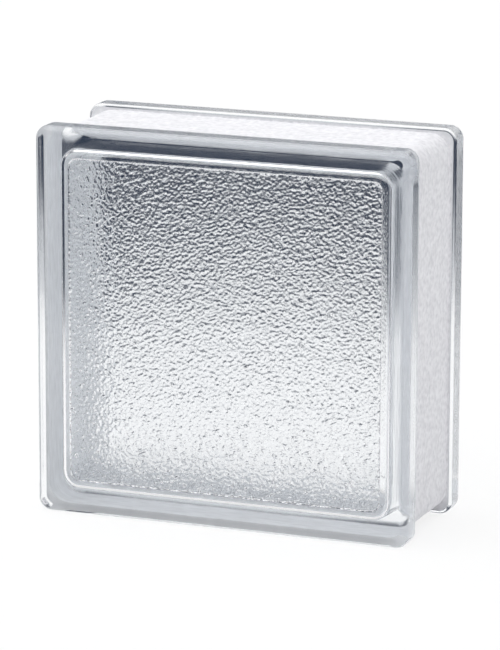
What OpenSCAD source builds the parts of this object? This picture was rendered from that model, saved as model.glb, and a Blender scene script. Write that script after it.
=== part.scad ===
// Hollow glass block: two pressed glass halves fused at mid depth, with a white coat on the joint faces.
// X runs along the width, Y through the depth and Z up. The front face looks towards -Y.
// The origin is the middle of the footprint, on the surface that the flange rims stand on.

/* [Block] */
// Width across the face
block_w = 190; // [120:1:300]
// Height of the block
block_h = 190; // [120:1:300]
// Depth from the front face to the rear face
block_d = 80; // [60:1:120]

/* [Face flange] */
// Width of the rim, from the face plane to its inner edge
flange_t = 13.7; // [9:0.1:20]
// Corner radius of the flange, seen from the front
flange_corner_r = 6.5; // [5:0.1:12]
// Rounding between the face and the rim
face_edge_r = 4.2; // [1:0.1:6]
// Rounding of the rim's inner edge
rim_edge_r = 1.5; // [0.5:0.1:2.2]

/* [Joint channel] */
// Depth of the glass channel floor below the rim, beside the flange
channel_depth = 3; // [2.7:0.1:6]
// Extra depth that the mould draft gives the floor at the seam
channel_draft = 0.3; // [0.05:0.05:1]
// Corner radius of the channel floor, beside the flange
channel_corner_r = 10; // [7:0.5:20]
// Chamfer of each half's outer edge where the halves are fused
seam_chamfer = 0.5; // [0.2:0.1:1]

/* [Cavity] */
// Thickness of each glass face
face_t = 8.5; // [5:0.1:14]
// Thickness of the side walls at the seam
wall_t = 6.6; // [4:0.1:12]
// How far the mould draft leans the cavity walls in, from the seam to the fillet
cavity_draft = 1; // [0.1:0.1:2]
// Corner radius of the cavity at the seam
cavity_corner_r = 10; // [6:0.5:20]
// Fillet between the cavity walls and the inner face
cavity_fillet_r = 4; // [1:0.5:6]

/* [Edge coating] */
// Thickness of the white coat on the channel floor
coat_t = 0.4; // [0.1:0.05:0.6]

/* [Hidden] */
$fn = 96;
// Depth of one half, from the seam to the face plane
half_d = block_d / 2;
// Place of the flange wall that bounds the channel, measured from the seam
flange_wall = half_d - flange_t;
// Depth of the cavity in one half
cavity_d = half_d - face_t;
// Width and height of the channel floor beside the flange
floor_w = block_w - 2 * channel_depth;
floor_h = block_h - 2 * channel_depth;
// Width and height of the cavity at the seam
cavity_inset = channel_depth + channel_draft + wall_t;
cavity_w = block_w - 2 * cavity_inset;
cavity_h = block_h - 2 * cavity_inset;
// Length by which solids run into each other where they are joined or cut
overlap = 2;
glass_colour = [0.80, 0.87, 0.90, 0.55];
coat_colour = [0.96, 0.96, 0.97];

// Carries a half section round a rounded rectangle in the XY plane. The section's X is the distance
// out from its axis, $reach is that distance at the side, and the section's Y becomes depth.
module carried_round(w, h, corner_r) {
    corner_signs = [[1, 1], [-1, 1], [-1, -1], [1, -1]];
    for (i = [0 : 3])
        translate([corner_signs[i].x * (w / 2 - corner_r), corner_signs[i].y * (h / 2 - corner_r), 0])
            rotate([0, 0, 90 * i])
                rotate_extrude(angle = 90)
                    let ($reach = corner_r) children();
    two_sides(h - 2 * corner_r)
        let ($reach = w / 2) children();
    rotate([0, 0, 90])
        two_sides(w - 2 * corner_r)
            let ($reach = h / 2) children();
}

// Extrudes a half section and its mirror image along Y, about the middle
module two_sides(length) {
    rotate([90, 0, 0])
        translate([0, 0, -length / 2])
            linear_extrude(length) {
                children();
                mirror([1, 0]) children();
            }
}

// Quarter of a disc in the corner between +X and +Y
module quarter_disc(r) {
    intersection() {
        circle(r);
        square(r);
    }
}

// Half section of the face plate, with its rounded rim
module flange_section() {
    rim_y = flange_wall + rim_edge_r;
    face_y = half_d - face_edge_r;
    translate([0, flange_wall])
        square([$reach - rim_edge_r, rim_edge_r]);
    translate([$reach - rim_edge_r, rim_y])
        mirror([0, 1]) quarter_disc(rim_edge_r);
    translate([0, rim_y])
        square([$reach, face_y - rim_y]);
    translate([0, face_y])
        square([$reach - face_edge_r, face_edge_r]);
    translate([$reach - face_edge_r, face_y])
        quarter_disc(face_edge_r);
}

// Half section of the walls, up to the channel floor and into the face plate
module wall_section() {
    seam_reach = $reach - channel_draft;
    polygon([
        [0, 0],
        [seam_reach - seam_chamfer, 0],
        [seam_reach, seam_chamfer],
        [$reach, flange_wall],
        [$reach, flange_wall + overlap],
        [0, flange_wall + overlap],
    ]);
}

// Half section of the cavity: a drafted wall that runs into the inner face through a fillet
module cavity_section() {
    fillet_y = cavity_d - cavity_fillet_r;
    fillet_x = $reach - cavity_draft - cavity_fillet_r;
    polygon([
        [0, -overlap],
        [$reach, -overlap],
        [$reach, 0],
        [fillet_x + cavity_fillet_r, fillet_y],
        [fillet_x, fillet_y],
        [fillet_x, cavity_d],
        [0, cavity_d],
    ]);
    translate([fillet_x, fillet_y])
        quarter_disc(cavity_fillet_r);
}

// Section of the coat: it follows the channel floor of both halves and their chamfers at the seam
module coat_section() {
    seam_reach = $reach - channel_draft;
    floor_line = [
        [$reach, -flange_wall],
        [seam_reach, -seam_chamfer],
        [seam_reach - seam_chamfer, 0],
        [seam_reach, seam_chamfer],
        [$reach, flange_wall],
    ];
    last = len(floor_line) - 1;
    polygon(concat(
        floor_line,
        [for (i = [last : -1 : 0]) floor_line[i] + [coat_t, 0]]
    ));
}

// One pressed half, lying on its seam with its face up
module pressed_half() {
    difference() {
        union() {
            carried_round(block_w, block_h, flange_corner_r) flange_section();
            carried_round(floor_w, floor_h, channel_corner_r) wall_section();
        }
        carried_round(cavity_w, cavity_h, cavity_corner_r) cavity_section();
    }
}

// Stands a form that lies about the seam plane upright, its +Z side turned to the front
module upright() {
    translate([0, 0, block_h / 2])
        rotate([90, 0, 0])
            children();
}

module front_half() {
    color(glass_colour)
        upright() pressed_half();
}

module rear_half() {
    color(glass_colour)
        rotate([0, 0, 180])
            upright() pressed_half();
}

module edge_coating() {
    color(coat_colour)
        upright()
            carried_round(floor_w, floor_h, channel_corner_r) coat_section();
}

front_half();
rear_half();
edge_coating();
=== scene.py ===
import math

import bpy
import numpy as np
from bpy.props import FloatProperty, FloatVectorProperty, IntProperty, PointerProperty
from mathutils import Matrix, Vector


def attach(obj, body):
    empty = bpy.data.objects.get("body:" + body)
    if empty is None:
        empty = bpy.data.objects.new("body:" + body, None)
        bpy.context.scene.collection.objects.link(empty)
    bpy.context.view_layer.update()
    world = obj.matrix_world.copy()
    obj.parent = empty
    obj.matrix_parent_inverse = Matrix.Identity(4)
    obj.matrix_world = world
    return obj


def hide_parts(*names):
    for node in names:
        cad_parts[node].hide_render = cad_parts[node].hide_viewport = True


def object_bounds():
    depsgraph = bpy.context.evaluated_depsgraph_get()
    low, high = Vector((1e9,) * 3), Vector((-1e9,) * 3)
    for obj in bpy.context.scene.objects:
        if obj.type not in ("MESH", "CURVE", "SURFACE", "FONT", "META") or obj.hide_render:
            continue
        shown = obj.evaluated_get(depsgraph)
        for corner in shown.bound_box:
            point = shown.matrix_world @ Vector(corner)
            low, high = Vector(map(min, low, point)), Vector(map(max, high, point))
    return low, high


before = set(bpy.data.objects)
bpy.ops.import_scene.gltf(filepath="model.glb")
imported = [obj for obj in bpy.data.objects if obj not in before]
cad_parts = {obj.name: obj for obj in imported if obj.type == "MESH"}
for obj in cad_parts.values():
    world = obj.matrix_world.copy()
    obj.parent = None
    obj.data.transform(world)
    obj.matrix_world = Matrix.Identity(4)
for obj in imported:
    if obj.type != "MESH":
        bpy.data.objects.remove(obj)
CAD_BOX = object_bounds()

bl_info = {
    "name": "Glass Block",
    "version": (1, 0, 0),
    "blender": (4, 5, 0),
    "location": "View3D > Sidebar > Glass Block",
    "description": "Pressed glass halves, white edge coat and a plain studio for a hollow glass block",
    "category": "Object",
}

BODY = "root"
BLOCK_LOW, BLOCK_HIGH = (np.array(corner) for corner in CAD_BOX)
BLOCK_SIZE = BLOCK_HIGH - BLOCK_LOW
HALF_DEPTH = float(BLOCK_SIZE[1]) / 2
FACE_HALF = np.array([BLOCK_SIZE[0], BLOCK_SIZE[2]]) / 2
BLOCK_MIDDLE = (BLOCK_LOW + BLOCK_HIGH) / 2
# Pixels along the photo's long side, and the camera's sensor along it in millimetres
PHOTO_LONG_SIDE = 650
SENSOR_WIDTH = 36
# Steps along each rounding of a section, and the short row beside it in metres
ROUNDING_STEPS = 10
ROUNDING_HOLD = 0.0003
# Places along each side of the table of random steps
PEBBLE_TABLE = 128
# Noise patterns, in waves for each metre
TINT_SCALE = 18.0
PATCH_SCALE = 420.0
STREAK_SCALE = 130.0
COAT_GRAIN_SCALE = 1400.0
FLOOR_SCALE = 3.0
# Finer waves that a noise pattern adds to its first
SOFT_DETAIL = 2.0
ROUGH_DETAIL = 5.0
# Part of a noise pattern's range that is spread from 0 to 1
NOISE_RANGE = {"From Min": 0.35, "From Max": 0.7}
# Bump of the coat's fine grain, its distance in metres
COAT_GRAIN = {"Strength": 0.25, "Distance": 0.0002}
# Brightest places of the floor, over its colour
FLOOR_DRIFT = 1.02
FLOOR_ROUGHNESS = 0.9
# Rings of the floor, rows of the studio wall, and points round both
FLOOR_RINGS = 4
WALL_ROWS = 8
STAGE_AROUND = 64
# Part of a direction that points to the back, from which on the room gives its full light
ROOM_BACK = 0.3
# Cosine of the angle from straight behind the block, where the wall's pale gap begins and where it is full
WALL_GAP = {"From Min": 0.975, "From Max": 0.992}
RENDER_SETTINGS = {
    "max_bounces": 40,
    "diffuse_bounces": 8,
    "glossy_bounces": 32,
    "transmission_bounces": 40,
    "blur_glossy": 0,
}


def length(name, description, default):
    """Length property in metres."""
    return FloatProperty(name=name, description=description, default=default, precision=5, unit="LENGTH")


def number(name, description, default):
    """Plain number property."""
    return FloatProperty(name=name, description=description, default=default)


def share(name, description, default):
    """Plain number property from 0 to 1."""
    return FloatProperty(
        name=name, description=description, default=default, min=0, max=1, subtype="FACTOR"
    )


def degrees(name, description, default):
    """Angle property, given in degrees and kept in radians."""
    return FloatProperty(
        name=name, description=description, default=math.radians(default), subtype="ANGLE"
    )


def colour(name, description, default):
    """Colour property, linear red, green and blue."""
    return FloatVectorProperty(
        name=name, description=description, default=default, size=3, min=0, max=1, subtype="COLOR"
    )


class GlassBlockSizes(bpy.types.PropertyGroup):
    """Section of the block. Width, height and depth come from the frame."""

    flange: length("Rim width", "From the face plane to the rim's inner edge", 0.0137)
    flange_corner: length("Rim corner", "Corner radius of the rim, seen from the front", 0.0065)
    face_edge: length("Face edge", "Rounding between the face and the rim", 0.0042)
    rim_edge: length("Rim edge", "Rounding of the rim's inner edge", 0.0015)
    channel: length("Channel depth", "Depth of the glass channel floor beside the rim", 0.003)
    channel_draft: length("Channel draft", "Extra depth of the channel floor at the seam", 0.0003)
    channel_corner: length("Channel corner", "Corner radius of the channel floor", 0.010)
    seam_chamfer: length("Seam chamfer", "Chamfer of each half at the fused seam", 0.0005)
    seam_gap: length("Seam gap", "Parting that keeps the two seam faces from lying in one plane", 0.00001)
    face: length("Face thickness", "Thickness of each glass face", 0.0085)
    wall: length("Wall thickness", "Thickness of the side walls at the seam", 0.0066)
    cavity_draft: length("Cavity draft", "Lean of the cavity walls, from the seam to the fillet", 0.001)
    cavity_corner: length("Cavity corner", "Corner radius of the cavity at the seam", 0.010)
    cavity_fillet: length("Cavity fillet", "Fillet between the cavity walls and the inner face", 0.004)
    coat: length("Coat thickness", "Thickness of the white coat on the channel floor", 0.0004)
    bond: length("Coat bond", "Depth by which the coat keys into the glass", 0.00005)
    film: length("Film thickness", "Thickness of the coat where it runs up the rim walls", 0.0002)


class GlassBlockPattern(bpy.types.PropertyGroup):
    """Pebbled pattern pressed on the inner faces."""

    spacing: length("Pebble spacing", "Middle distance between pebbles, across their lean", 0.0013)
    height: length("Pebble height", "Fall from a pebble's crown over one spacing", 0.0011)
    stretch: number("Stretch", "Length of a pebble over its width", 1.1)
    lean: degrees("Lean", "Rise of the long pebbles to the right", 22)
    grain_size: length("Grain size", "Size of the fine grain on the pebbles", 0.0012)
    grain_height: length("Grain height", "Height of the fine grain on the pebbles", 0.00045)
    wave_size: length("Wave size", "Size of the waves that the mould left on rims and walls", 0.020)
    wave_height: length("Wave height", "Height of the waves on rims and walls", 0.0002)
    wave_draw: share("Wave draw", "Depth of a wave over its length along the rim", 0.15)
    cavity_waves: share("Cavity waves", "Height of the cavity walls' waves over the rims'", 0.4)
    margin: length("Plain margin", "Smooth strip between the fillet and the pebbles", 0.0002)
    fade: length("Fade", "Distance over which the pebbles rise at the panel's edge", 0.0006)
    scatter: share("Scatter", "How far a pebble may sit from the middle of its place", 0.42)
    seed: IntProperty(name="Seed", description="Start of the random places", default=11)
    cells: IntProperty(name="Cells", description="Grid cells along each side of the panel", default=296)


class GlassBlockFinish(bpy.types.PropertyGroup):
    """Colours and finish of the glass and the coat."""

    glass: colour("Glass", "Tint of the glass", (0.965, 0.975, 0.985))
    glass_index: number("Glass index", "Refractive index of the glass", 1.52)
    face_roughness: share("Face roughness", "Roughness of the faces", 0.015)
    wall_roughness: share("Wall roughness", "Roughness of the rims and the walls as pressed", 0.22)
    coat: colour("Coat", "White of the edge coat", (0.93, 0.925, 0.945))
    coat_shade: colour("Coat shade", "Thin places in the edge coat", (0.75, 0.745, 0.77))
    coat_bond: colour("Coat bond", "Side of the edge coat that sticks to the glass", (0.925, 0.935, 0.95))
    # Painted shade: the coat on the rim walls is coloured greyer to stand for the shade there
    painted_rim_shade: colour("Rim shade", "Edge coat where it runs out at the rims", (0.7, 0.71, 0.73))
    coat_roughness: share("Coat roughness", "Roughness of the edge coat", 0.75)
    coat_gloss: share("Coat gloss", "Strength of the edge coat's mirror light", 0.3)
    streak_shade: share("Streak shade", "Streaks on the side that sticks, over its own colour", 0.86)
    streak_draw: share("Streak draw", "Depth of a streak over its length along the channel", 0.3)


class GlassBlockStage(bpy.types.PropertyGroup):
    """Camera, floor and studio wall."""

    azimuth: degrees("Azimuth", "Camera turn to the right", 21.3)
    elevation: degrees("Elevation", "Camera height angle", 13.28)
    roll: degrees("Roll", "Camera tilt", 0.15)
    distance: length("Camera distance", "From the point aimed at to the camera", 1.968)
    aim_x: length("Aim across", "Point aimed at, across the block", 0.00034)
    aim_z: length("Aim height", "Point aimed at, over the floor", 0.0921)
    focal_pixels: number("Focal length", "In pixels of the photo", 4085.0)
    floor: colour("Floor", "Colour of the floor", (0.93, 0.93, 0.93))
    floor_white: share("Floor white", "How much of the floor shows as plain white", 0.8)
    floor_radius: length("Floor radius", "Radius of the round floor", 4.0)
    wall: colour("Studio wall", "Dark wall that the glass shows", (0.02, 0.03, 0.055))
    wall_foot: colour("Wall foot", "Paler foot of the studio wall", (0.62, 0.64, 0.67))
    wall_radius: length("Wall radius", "Radius of the round studio wall", 0.45)
    wall_height: length("Wall height", "Height of the studio wall", 0.6)
    foot_height: length("Foot height", "Height over which the wall's foot darkens", 0.035)
    gap_lift: length("Gap lift", "How much higher the pale foot reaches straight behind the block", 0.04)
    fade_start: length("Fade start", "Height from which the wall fades to white", 0.3)


class GlassBlockLight(bpy.types.PropertyGroup):
    """Soft light on the matt surfaces."""

    tint: colour("Tint", "Colour of the room's light", (0.97, 0.98, 1))
    front: share("Front", "Strength of the room's light from the front", 0.5)
    back: share("Back", "Strength of the room's light from the back", 0.88)
    left: number("Left", "Strength of the room's left side, over its middle", 1.08)
    right: number("Right", "Strength of the room's right side, over its middle", 0.68)
    lamp: number("Lamp", "Strength of the lamp above", 1.5)
    lamp_spread: degrees("Lamp spread", "Angle that the lamp above fills", 70)
    lamp_forward: degrees("Lamp forward", "Turn of the lamp above to the front", 15)
    lamp_left: degrees("Lamp left", "Turn of the lamp above to the left", 10)


def arc(inset, depth, size, start, stop, steps):
    """Rows along a rounding: inset and depth of points on a circle, from one angle to another in degrees.

    At 0 degrees a point lies outwards of the middle and at 90 degrees towards the face.
    """
    angle = np.radians(np.linspace(start, stop, steps + 1))
    return np.stack([inset - size * np.cos(angle), depth + size * np.sin(angle)], axis=1)


def half_section(sizes):
    """Section of one half, from the edge of its inner panel round to its outer face.

    Each row is a point's inset from the block's side, its depth from the seam, and the inset of the
    middle of its corner. A short row beside each rounding keeps the flat stretches flat.
    """
    hold = ROUNDING_HOLD
    steps = ROUNDING_STEPS
    cavity_inset = sizes.channel + sizes.channel_draft + sizes.wall
    fillet_inset = cavity_inset + sizes.cavity_draft + sizes.cavity_fillet
    fillet_depth = HALF_DEPTH - sizes.face - sizes.cavity_fillet
    seam_inset = sizes.channel + sizes.channel_draft
    flange_wall = HALF_DEPTH - sizes.flange
    rim_depth = flange_wall + sizes.rim_edge
    face_depth = HALF_DEPTH - sizes.face_edge
    lean = hold * sizes.cavity_draft / fillet_depth
    cavity = np.concatenate([
        [[fillet_inset + hold, HALF_DEPTH - sizes.face]],
        arc(fillet_inset, fillet_depth, sizes.cavity_fillet, 90, 0, steps),
        [[fillet_inset - sizes.cavity_fillet - lean, fillet_depth - hold]],
        [[cavity_inset, sizes.seam_gap]],
    ])
    channel = np.array([
        [seam_inset + sizes.seam_chamfer, sizes.seam_gap],
        [seam_inset, sizes.seam_chamfer],
        [sizes.channel, flange_wall],
    ])
    flange = np.concatenate([
        [[sizes.rim_edge + hold, flange_wall]],
        arc(sizes.rim_edge, rim_depth, sizes.rim_edge, -90, 0, steps),
        [[0, rim_depth + hold], [0, face_depth - hold]],
        arc(sizes.face_edge, face_depth, sizes.face_edge, 0, 90, steps),
        [[sizes.face_edge + hold, HALF_DEPTH]],
    ])
    corner_middles = (
        (cavity, cavity_inset + sizes.cavity_corner),
        (channel, sizes.channel + sizes.channel_corner),
        (flange, sizes.flange_corner),
    )
    return np.concatenate([np.insert(rows, 2, middle, axis=1) for rows, middle in corner_middles])


def coat_section(sizes):
    """Closed section of the coat: down a rim wall, over the channel floor and up the other rim wall.

    It runs a little inside the glass, and back over it. Each row is laid out as in half_section.
    """
    flange_wall = HALF_DEPTH - sizes.flange
    seam_inset = sizes.channel + sizes.channel_draft
    floor_side = np.array([[seam_inset, sizes.seam_chamfer], [seam_inset + sizes.seam_chamfer, 0]])
    lines = []
    for rise, reach in ((-sizes.bond, flange_wall + sizes.bond), (sizes.coat, flange_wall - sizes.film)):
        wall_foot = [sizes.channel - rise, reach]
        side = np.concatenate([[[sizes.rim_edge, reach], wall_foot], floor_side - [rise, 0]])
        lines.append(np.concatenate([side, side[-2::-1] * [1, -1]]))
    outline = np.concatenate([lines[0], lines[1][::-1]])
    on_rim = outline[:, 0] <= sizes.rim_edge
    middle = np.where(on_rim, sizes.flange_corner, sizes.channel + sizes.channel_corner)
    return np.column_stack([outline, middle])


def loop_places(corner_steps, side_steps):
    """Place of each point round a rounded rectangle, as two lists of plan vectors.

    A point is its signs times the corner's middle plus its direction times the corner's radius. Along a
    corner the direction turns a quarter, and along a side the signs run on to the next corner.
    """
    quarter = np.arange(4)[:, None] * (math.pi / 2)
    turn = np.linspace(0, math.pi / 2, corner_steps + 1)[None]
    along = np.linspace(0, 1, side_steps + 1)[1:-1]
    last_turn = np.full((1, side_steps - 1), math.pi / 2)
    angle = quarter + np.concatenate([turn, last_turn], axis=1)
    run = np.concatenate([np.zeros(corner_steps + 1), along])[None, :, None]
    corner = np.array([[1, 1], [-1, 1], [-1, -1], [1, -1]], float)[:, None]
    signs = corner * (1 - run) + np.roll(corner, -1, axis=0) * run
    directions = np.stack([np.cos(angle), np.sin(angle)], axis=-1)
    return signs.reshape(-1, 2), directions.reshape(-1, 2)


def carried_round(section, corner_steps=14, side_steps=30):
    """Section carried round the block: for each row a loop of points across, up and in depth."""
    signs, directions = loop_places(corner_steps, side_steps)
    inset, depth, middle = (column[:, None, None] for column in section.T)
    plan = signs[None] * (FACE_HALF - middle) + directions[None] * (middle - inset)
    return np.concatenate([plan, np.broadcast_to(depth, (*plan.shape[:2], 1))], axis=2)


def strip_faces(rows, around, closed=False):
    """Four-sided faces between neighbouring loops of a carried section, pointing out of its solid."""
    last = rows if closed else rows - 1
    row = np.arange(last)[:, None]
    place = np.arange(around)[None]
    next_row = (row + 1) % rows
    next_place = (place + 1) % around
    corners = [
        row * around + place,
        row * around + next_place,
        next_row * around + next_place,
        next_row * around + place,
    ]
    return np.stack(corners, axis=-1).reshape(-1, 4)


def panel_grid(inset, middle, cells):
    """Square grid that fills a rounded rectangle, as plan points and the share of the way to its border.

    Every square ring of the grid becomes a rounded rectangle of the same proportions: a point on the
    ring's side stays, and one near its corner moves to the corner's arc at the angle it has run.
    """
    half = FACE_HALF - inset
    corner = (middle - inset) / half
    line = np.linspace(-1, 1, cells + 1)
    across, up = np.meshgrid(line, line, indexing="ij")
    ring = np.maximum(np.abs(across), np.abs(up))
    safe = np.maximum(ring, 1e-9)
    x = np.abs(across) / safe
    y = np.abs(up) / safe
    past_x = np.clip((x - 1 + corner[0]) / corner[0], 0, 1)
    past_y = np.clip((y - 1 + corner[1]) / corner[1], 0, 1)
    angle = math.pi / 4 * (1 + past_y - past_x)
    in_corner = (past_x > 0) & (past_y > 0)
    x = np.where(in_corner, 1 - corner[0] + corner[0] * np.cos(angle), x)
    y = np.where(in_corner, 1 - corner[1] + corner[1] * np.sin(angle), y)
    plan = np.stack([np.sign(across) * x * ring * half[0], np.sign(up) * y * ring * half[1]], axis=-1)
    return plan, ring


def pebbles(plan, pattern, lean):
    """Height of the pressed pebbles, as a share of the pattern's height.

    A square lattice is turned by the lean and stretched along it. Each of its places holds one crown,
    moved off its middle by a random step. The height is 1 at a crown, and falls with the square of the
    distance to the nearest one.
    """
    turn = np.array([[math.cos(lean), -math.sin(lean)], [math.sin(lean), math.cos(lean)]])
    rng = np.random.default_rng(pattern.seed)
    moved = rng.uniform(-pattern.scatter, pattern.scatter, (PEBBLE_TABLE, PEBBLE_TABLE, 2))
    lattice = plan @ turn / (pattern.spacing * np.array([pattern.stretch, 1]))
    place = np.floor(lattice).astype(int)
    nearest = np.full(plan.shape[:-1], np.inf)
    for step in np.ndindex(3, 3):
        home = place + np.array(step) - 1
        row, column = np.moveaxis(home % PEBBLE_TABLE, -1, 0)
        crown = home + 0.5 + moved[row, column]
        nearest = np.minimum(nearest, ((lattice - crown) ** 2).sum(axis=-1))
    return 1 - nearest


def zip_faces(inner, outer, points):
    """Triangles that close the strip between two loops, seen from the seam.

    Both loops are walked together by their angle about the middle, and each new point makes a triangle
    with the last points passed on the two loops.
    """
    index = np.concatenate([inner, outer])
    on_inner = np.arange(len(index)) < len(inner)
    angle = np.arctan2(points[index, 1], points[index, 0])
    order = np.argsort(angle, kind="stable")
    index, on_inner = index[order], on_inner[order]
    step = np.arange(len(index))
    last_inner = np.maximum.accumulate(np.where(on_inner, step, -1))
    last_outer = np.maximum.accumulate(np.where(on_inner, -1, step))
    last_inner[last_inner < 0] = step[on_inner][-1]
    last_outer[last_outer < 0] = step[~on_inner][-1]
    before_inner, before_outer = np.roll(last_inner, 1), np.roll(last_outer, 1)
    return index[np.stack([before_inner, step, before_outer], axis=1)]


def grid_faces(cells):
    """Four-sided faces of the panel grid, pointing to the seam."""
    grid = np.arange((cells + 1) ** 2).reshape(cells + 1, cells + 1)
    corners = [grid[:-1, :-1], grid[:-1, 1:], grid[1:, 1:], grid[1:, :-1]]
    return np.stack(corners, axis=-1).reshape(-1, 4)


def grid_border(cells):
    """Numbers of the panel grid's border points, anticlockwise."""
    grid = np.arange((cells + 1) ** 2).reshape(cells + 1, cells + 1)
    return np.concatenate([grid[:-1, 0], grid[-1, :-1], grid[:0:-1, -1], grid[0, :0:-1]])


def half_shell(sizes, pattern, lean):
    """Points and faces of one pressed half, lying on its seam with its face up.

    The panel grid carries the pebbles, a zipped strip joins it to the section carried round the block,
    and one flat face closes the outside. Two shares for each point go with it: pebbled is 1 inside the
    panel, and waved is 1 on the rim and in the channel and less on the cavity walls.
    """
    section = half_section(sizes)
    inset, depth, middle = section[0]
    grid_inset = inset + pattern.margin
    plan, ring = panel_grid(grid_inset, middle, pattern.cells)
    edge = (1 - ring) * (FACE_HALF.min() - grid_inset)
    rise = np.clip(edge / pattern.fade, 0, 1)
    rise = rise * rise * (3 - 2 * rise)
    relief = pattern.height * rise * pebbles(plan, pattern, lean)
    panel = np.concatenate([plan, (depth - relief)[..., None]], axis=-1).reshape(-1, 3)
    shell = carried_round(section)
    rows, around = shell.shape[:2]
    points = np.concatenate([panel, shell.reshape(-1, 3)])
    first_loop = len(panel) + np.arange(around)
    last_loop = len(points) - around + np.arange(around)
    faces = [
        grid_faces(pattern.cells),
        zip_faces(grid_border(pattern.cells), first_loop, points),
        len(panel) + strip_faces(rows, around),
        last_loop[None],
    ]
    pebbled = np.concatenate([rise.ravel(), np.zeros(rows * around)])
    waved_rows = np.clip((HALF_DEPTH - section[:, 1]) / sizes.face_edge, 0, 1)
    wall_middle = sizes.channel + sizes.channel_draft + sizes.wall / 2
    waved_rows[section[:, 0] > wall_middle] *= pattern.cavity_waves
    waved = np.concatenate([np.zeros(len(panel)), np.repeat(waved_rows, around)])
    return points, faces, {"pebbled": pebbled, "waved": waved}


def stand_up(points, towards):
    """Points of a lying form, stood upright about the block's middle.

    Its face turns to -Y where towards is -1, and to +Y where it is 1.
    """
    across, up, depth = points.T
    return np.stack([-towards * across, towards * depth, up], axis=1) + BLOCK_MIDDLE


def new_piece(name, points, faces, material, shares=(), sharp=60):
    """Mesh object from points, lists of faces and shares for each point.

    It is shaded smooth, but for edges that turn by more than the sharp angle in degrees.
    """
    mesh = bpy.data.meshes.new(name)
    corners = np.concatenate([part.ravel() for part in faces])
    sides = np.concatenate([np.full(len(part), part.shape[1]) for part in faces])
    starts = np.concatenate([[0], np.cumsum(sides)[:-1]])
    mesh.vertices.add(len(points))
    mesh.vertices.foreach_set("co", points.ravel())
    mesh.loops.add(len(corners))
    mesh.loops.foreach_set("vertex_index", corners)
    mesh.polygons.add(len(sides))
    mesh.polygons.foreach_set("loop_start", starts)
    mesh.update(calc_edges=True)
    if mesh.validate():
        raise RuntimeError(f"{name} has faulty faces")
    mesh.shade_smooth()
    mesh.set_sharp_from_angle(angle=math.radians(sharp))
    for share_name, values in dict(shares).items():
        mesh.attributes.new(share_name, "FLOAT", "POINT").data.foreach_set("value", values)
    mesh.materials.append(material)
    piece = bpy.data.objects.new(name, mesh)
    bpy.context.scene.collection.objects.link(piece)
    return piece


def new_material(name):
    """Material with its nodes, its node tree and its main shader."""
    material = bpy.data.materials.new(name)
    material.use_nodes = True
    tree = material.node_tree
    return material, tree, tree.nodes["Principled BSDF"]


def set_sockets(tree, node, inputs):
    """Set a node's sockets, by name or number, to values, or link them to other sockets."""
    for name, value in inputs.items():
        if isinstance(value, bpy.types.NodeSocket):
            tree.links.new(value, node.inputs[name])
        else:
            node.inputs[name].default_value = value


def add_node(tree, kind, inputs=None, **settings):
    """New node with its settings and its sockets set."""
    node = tree.nodes.new(kind)
    for name, value in settings.items():
        setattr(node, name, value)
    set_sockets(tree, node, inputs or {})
    return node


def object_place(tree):
    """Socket with the place on the object, in metres."""
    return add_node(tree, "ShaderNodeTexCoord").outputs["Object"]


def turned_place(tree, place, scale, rotation=(0, 0, 0)):
    """Socket with a place turned and scaled, so that a pattern on it is."""
    inputs = {"Vector": place, "Rotation": rotation, "Scale": scale}
    return add_node(tree, "ShaderNodeMapping", inputs, vector_type="TEXTURE").outputs[0]


def noise(tree, place, scale, detail):
    """Socket with a noise pattern from 0 to 1."""
    inputs = {"Vector": place, "Scale": scale, "Detail": detail}
    return add_node(tree, "ShaderNodeTexNoise", inputs).outputs["Fac"]


def point_share(tree, name):
    """Socket with one of the shares that a mesh keeps for each point."""
    return add_node(tree, "ShaderNodeAttribute", attribute_name=name).outputs["Fac"]


def maths(tree, operation, first, second, clamp=False):
    """Socket with the result of an operation on two sockets or numbers, kept from 0 to 1 if clamped."""
    inputs = {0: first, 1: second}
    return add_node(tree, "ShaderNodeMath", inputs, operation=operation, use_clamp=clamp).outputs[0]


def spread(tree, value, limits, **settings):
    """Socket with a value carried from one range to another."""
    return add_node(tree, "ShaderNodeMapRange", {"Value": value, **limits}, **settings).outputs["Result"]


def blend(tree, factor, first, second):
    """Socket with a blend of two colours, each a socket or red, green and blue."""
    colours = [one if isinstance(one, bpy.types.NodeSocket) else (*one, 1) for one in (first, second)]
    inputs = {"Factor": factor, 6: colours[0], 7: colours[1]}
    return add_node(tree, "ShaderNodeMix", inputs, data_type="RGBA").outputs[2]


def relief_height(tree, relief, height, share_name):
    """Socket with a relief raised to a height, kept to the part of the piece that a share marks."""
    masked = maths(tree, "MULTIPLY", relief, point_share(tree, share_name))
    return maths(tree, "MULTIPLY", masked, height)


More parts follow.
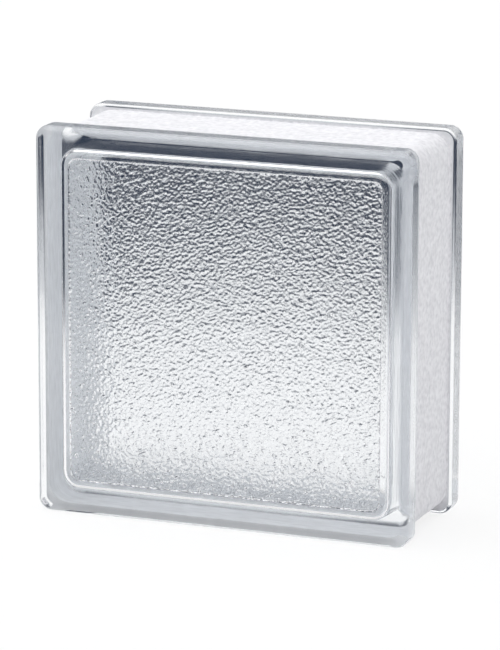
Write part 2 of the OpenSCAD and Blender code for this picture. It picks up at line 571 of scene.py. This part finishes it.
def clear_glass(finish, pattern):
    """Clear pressed glass with a faint tint that drifts.

    Its bump is a fine grain on the pebbles and waves on the rims and walls, which are rougher too.
    """
    material, tree, shader = new_material("clear_glass")
    place = object_place(tree)
    halfway_to_white = 0.5 + 0.5 * np.array(finish.glass)
    tint = blend(tree, noise(tree, place, TINT_SCALE, SOFT_DETAIL), finish.glass, halfway_to_white)
    leaned = turned_place(tree, place, (pattern.stretch, 1, 1), (0, -pattern.lean, 0))
    fine = noise(tree, leaned, 1 / pattern.grain_size, 0.0)
    grain = relief_height(tree, fine, pattern.grain_height, "pebbled")
    drawn = turned_place(tree, place, (1, pattern.wave_draw, 1))
    marks = noise(tree, drawn, 1 / pattern.wave_size, SOFT_DETAIL)
    waves = relief_height(tree, marks, pattern.wave_height, "waved")
    relief = {"Height": maths(tree, "ADD", grain, waves), "Strength": 1.0, "Distance": 1.0}
    roughness = {"To Min": finish.face_roughness, "To Max": finish.wall_roughness}
    set_sockets(tree, shader, {
        "Base Color": tint,
        "Normal": add_node(tree, "ShaderNodeBump", relief).outputs["Normal"],
        "Roughness": spread(tree, point_share(tree, "waved"), roughness),
        "IOR": finish.glass_index,
        "Transmission Weight": 1.0,
    })
    return material


def white_coat(finish):
    """Matt white coat with thin places and a fine grain.

    It is streaked on the side that sticks to the glass, and painted greyer where it runs out at the rims,
    as painted shade on the rim walls.
    """
    material, tree, shader = new_material("white_coat")
    place = object_place(tree)
    thin = spread(tree, noise(tree, place, PATCH_SCALE, ROUGH_DETAIL), NOISE_RANGE)
    outside = blend(tree, thin, finish.coat, finish.coat_shade)
    drawn = turned_place(tree, place, (1, finish.streak_draw, 1))
    streak = spread(tree, noise(tree, drawn, STREAK_SCALE, ROUGH_DETAIL), NOISE_RANGE)
    bond = np.array(finish.coat_bond)
    inside = blend(tree, streak, bond, finish.streak_shade * bond)
    sides = blend(tree, point_share(tree, "bonded"), outside, inside)
    grain = {"Height": noise(tree, place, COAT_GRAIN_SCALE, SOFT_DETAIL), **COAT_GRAIN}
    set_sockets(tree, shader, {
        # The greyer colour on the rim walls is painted shade
        "Base Color": blend(tree, point_share(tree, "rim_shaded"), sides, finish.painted_rim_shade),
        "Normal": add_node(tree, "ShaderNodeBump", grain).outputs["Normal"],
        "Roughness": finish.coat_roughness,
        "Specular IOR Level": finish.coat_gloss,
    })
    return material


class GLASSBLOCK_OT_halves(bpy.types.Operator):
    """Press the two glass halves, with pebbles on their inner faces"""

    bl_idname = "glassblock.halves"
    bl_label = "Glass halves"

    def execute(self, context):
        scene = context.scene
        sizes = scene.glass_block_sizes
        pattern = scene.glass_block_pattern
        glass = clear_glass(scene.glass_block_finish, pattern)
        for name, node, towards in (("front_glass", "front_half", -1), ("rear_glass", "rear_half", 1)):
            points, faces, shares = half_shell(sizes, pattern, -towards * pattern.lean)
            piece = new_piece(name, stand_up(points, towards), faces, glass, shares)
            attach(piece, BODY)
            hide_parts(node)
        return {"FINISHED"}


class GLASSBLOCK_OT_coat(bpy.types.Operator):
    """Lay the white coat on the channel floor and the rim walls beside it"""

    bl_idname = "glassblock.coat"
    bl_label = "White edge coat"

    def execute(self, context):
        scene = context.scene
        sizes = scene.glass_block_sizes
        section = coat_section(sizes)
        loops = carried_round(section)
        rows, around = loops.shape[:2]
        faces = [strip_faces(rows, around, closed=True)]
        points = stand_up(loops.reshape(-1, 3), -1)
        # Rows on the rim walls, which take the painted shade colour
        marks = {"bonded": np.arange(rows) < rows // 2, "rim_shaded": section[:, 0] <= sizes.rim_edge}
        shares = {name: np.repeat(rows_marked, around).astype(float) for name, rows_marked in marks.items()}
        coat = white_coat(scene.glass_block_finish)
        piece = new_piece("edge_coat", points, faces, coat, shares, sharp=30)
        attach(piece, BODY)
        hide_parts("edge_coating")
        return {"FINISHED"}


def disc(radius, rings, around):
    """Flat round floor: rings of points about the middle, closed by a fan of triangles."""
    turns = np.linspace(0, 2 * math.pi, around, endpoint=False)
    angle, reach = np.meshgrid(turns, radius * np.linspace(1, 0, rings, endpoint=False))
    loops = np.stack([reach * np.cos(angle), reach * np.sin(angle), 0 * angle], axis=-1)
    inner = (rings - 1) * around + np.arange(around)
    fan = np.stack([inner, np.roll(inner, -1), np.full(around, rings * around)], axis=1)
    points = np.concatenate([loops.reshape(-1, 3), [[0, 0, 0]]])
    return points, [strip_faces(rings, around), fan]


def ring_wall(radius, height, rows, around):
    """Upright round wall: rows of points at one distance from the middle."""
    turns = np.linspace(0, 2 * math.pi, around, endpoint=False)
    angle, level = np.meshgrid(turns, np.linspace(0, height, rows))
    points = np.stack([radius * np.cos(angle), radius * np.sin(angle), level], axis=-1)
    return points.reshape(-1, 3), [strip_faces(rows, around)]


def shown_rays(tree):
    """Socket that is 1 for the rays that show the background: from the camera, by mirror or through glass.

    It is 0 for the rays that light a matt surface.
    """
    path = add_node(tree, "ShaderNodeLightPath").outputs
    mirrored = maths(tree, "ADD", path["Is Camera Ray"], path["Is Glossy Ray"])
    shown = maths(tree, "ADD", mirrored, path["Is Transmission Ray"], clamp=True)
    return maths(tree, "SUBTRACT", shown, path["Diffuse Depth"], clamp=True)


def mix_shaders(tree, factor, first, second):
    """Socket with a mix of two shader nodes."""
    inputs = {"Fac": factor, 1: first.outputs[0], 2: second.outputs[0]}
    return add_node(tree, "ShaderNodeMixShader", inputs).outputs[0]


def pale_floor(stage):
    """Matt pale floor that partly shows as plain white."""
    material, tree, shader = new_material("pale_floor")
    cloud = noise(tree, object_place(tree), FLOOR_SCALE, SOFT_DETAIL)
    pale = blend(tree, cloud, stage.floor, FLOOR_DRIFT * np.array(stage.floor))
    set_sockets(tree, shader, {"Base Color": pale, "Roughness": FLOOR_ROUGHNESS})
    part = maths(tree, "MULTIPLY", shown_rays(tree), stage.floor_white)
    white = add_node(tree, "ShaderNodeEmission", {"Color": (1, 1, 1, 1), "Strength": 1.0})
    surface = mix_shaders(tree, part, shader, white)
    set_sockets(tree, tree.nodes["Material Output"], {"Surface": surface})
    return material


def set_floor(stage):
    """Wide floor that shows as white and keeps a soft shadow."""
    points, faces = disc(stage.floor_radius, FLOOR_RINGS, STAGE_AROUND)
    floor = new_piece("floor", points, faces, pale_floor(stage))


def studio_wall(stage):
    """Glow of the studio wall, clear for the light that has left a matt surface.

    Its foot is paler, straight behind the block the pale part reaches higher, and its top fades to white.
    """
    material, tree, _ = new_material("studio_wall")
    tree.nodes.clear()
    place = object_place(tree)
    height = add_node(tree, "ShaderNodeSeparateXYZ", {"Vector": place}).outputs["Z"]
    behind = np.array([-math.sin(stage.azimuth), math.cos(stage.azimuth), 0]) / stage.wall_radius
    facing = add_node(tree, "ShaderNodeVectorMath", {0: place, 1: behind}, operation="DOT_PRODUCT")
    lift = spread(tree, facing.outputs["Value"], {**WALL_GAP, "To Max": stage.gap_lift})
    above = maths(tree, "SUBTRACT", height, lift)
    climb = spread(tree, above, {"From Max": stage.foot_height}, interpolation_type="SMOOTHSTEP")
    top = {"From Min": stage.fade_start, "From Max": stage.wall_height}
    fade = spread(tree, height, top, interpolation_type="SMOOTHSTEP")
    shade = blend(tree, fade, blend(tree, climb, stage.wall_foot, stage.wall), (1, 1, 1))
    glow = add_node(tree, "ShaderNodeEmission", {"Color": shade, "Strength": 1.0})
    clear = add_node(tree, "ShaderNodeBsdfTransparent")
    left_matt = add_node(tree, "ShaderNodeLightPath").outputs["Diffuse Depth"]
    surface = mix_shaders(tree, left_matt, glow, clear)
    add_node(tree, "ShaderNodeOutputMaterial", {"Surface": surface})
    return material


def set_wall(stage):
    """Dark wall round the stage: only reflections and views through glass meet it."""
    points, faces = ring_wall(stage.wall_radius, stage.wall_height, WALL_ROWS, STAGE_AROUND)
    wall = new_piece("studio_wall", points, faces, studio_wall(stage))
    wall.visible_camera = False
    wall.visible_diffuse = False
    wall.visible_shadow = False


def set_room(scene, light):
    """Room that gives less light from the front and the right, and shows as plain white."""
    world = bpy.data.worlds.new("white_room")
    scene.world = world
    world.use_nodes = True
    tree = world.node_tree
    tree.nodes.clear()
    direction = add_node(tree, "ShaderNodeTexCoord").outputs["Generated"]
    parts = add_node(tree, "ShaderNodeSeparateXYZ", {"Vector": direction}).outputs
    depth = {"From Min": -1.0, "From Max": ROOM_BACK, "To Min": light.front, "To Max": light.back}
    width = {"From Min": -1.0, "From Max": 1.0, "To Min": light.left, "To Max": light.right}
    strength = maths(tree, "MULTIPLY", spread(tree, parts["Y"], depth), spread(tree, parts["X"], width))
    soft = add_node(tree, "ShaderNodeBackground", {"Color": (*light.tint, 1), "Strength": strength})
    white = add_node(tree, "ShaderNodeBackground", {"Color": (1, 1, 1, 1), "Strength": 1.0})
    surface = mix_shaders(tree, shown_rays(tree), soft, white)
    add_node(tree, "ShaderNodeOutputWorld", {"Surface": surface})


def set_lamp(scene, light):
    """Broad soft lamp above the block."""
    sun = bpy.data.lights.new("soft_overhead", "SUN")
    sun.energy = light.lamp
    sun.angle = light.lamp_spread
    lamp = bpy.data.objects.new("soft_overhead", sun)
    lamp.rotation_euler = (light.lamp_forward, -light.lamp_left, 0)
    scene.collection.objects.link(lamp)


def set_camera(scene, stage):
    """Camera at the photo's angle, aimed at the middle of its frame."""
    turn, rise = stage.azimuth, stage.elevation
    back = Vector((
        math.sin(turn) * math.cos(rise),
        -math.cos(turn) * math.cos(rise),
        math.sin(rise),
    ))
    data = bpy.data.cameras.new("photo_camera")
    data.sensor_width = SENSOR_WIDTH
    data.lens = stage.focal_pixels * SENSOR_WIDTH / PHOTO_LONG_SIDE
    data.clip_start, data.clip_end = 0.05, 50
    camera = bpy.data.objects.new("photo_camera", data)
    aim = Vector((stage.aim_x, 0, stage.aim_z))
    facing = (-back).to_track_quat("-Z", "Y").to_matrix() @ Matrix.Rotation(stage.roll, 3, "Z")
    camera.matrix_world = Matrix.LocRotScale(aim + back * stage.distance, facing.to_quaternion(), None)
    scene.collection.objects.link(camera)
    scene.camera = camera


class GLASSBLOCK_OT_stage(bpy.types.Operator):
    """Set up the floor, the studio wall, the light and the camera"""

    bl_idname = "glassblock.stage"
    bl_label = "Studio"

    def execute(self, context):
        scene = context.scene
        stage = scene.glass_block_stage
        set_floor(stage)
        set_wall(stage)
        set_room(scene, scene.glass_block_light)
        set_lamp(scene, scene.glass_block_light)
        set_camera(scene, stage)
        scene.view_settings.view_transform = "Standard"
        for name, value in RENDER_SETTINGS.items():
            setattr(scene.cycles, name, value)
        return {"FINISHED"}


class VIEW3D_PT_glass_block(bpy.types.Panel):
    """Steps that make the glass block"""

    bl_label = "Glass Block"
    bl_space_type = "VIEW_3D"
    bl_region_type = "UI"
    bl_category = "Glass Block"

    def draw(self, context):
        for operator in OPERATORS:
            self.layout.operator(operator.bl_idname)


GROUPS = {
    "glass_block_sizes": GlassBlockSizes,
    "glass_block_pattern": GlassBlockPattern,
    "glass_block_finish": GlassBlockFinish,
    "glass_block_stage": GlassBlockStage,
    "glass_block_light": GlassBlockLight,
}
OPERATORS = (GLASSBLOCK_OT_halves, GLASSBLOCK_OT_coat, GLASSBLOCK_OT_stage)
CLASSES = (*GROUPS.values(), *OPERATORS, VIEW3D_PT_glass_block)


def register():
    """Register the classes, and give the scene its groups of properties."""
    for cls in CLASSES:
        bpy.utils.register_class(cls)
    for name, group in GROUPS.items():
        setattr(bpy.types.Scene, name, PointerProperty(type=group))


def unregister():
    """Take the groups of properties and the classes away again."""
    for name in GROUPS:
        delattr(bpy.types.Scene, name)
    for cls in reversed(CLASSES):
        bpy.utils.unregister_class(cls)


def main():
    """Make the pieces and the stage."""
    register()
    bpy.ops.glassblock.halves()
    bpy.ops.glassblock.coat()
    bpy.ops.glassblock.stage()


if __name__ == "__main__":
    main()
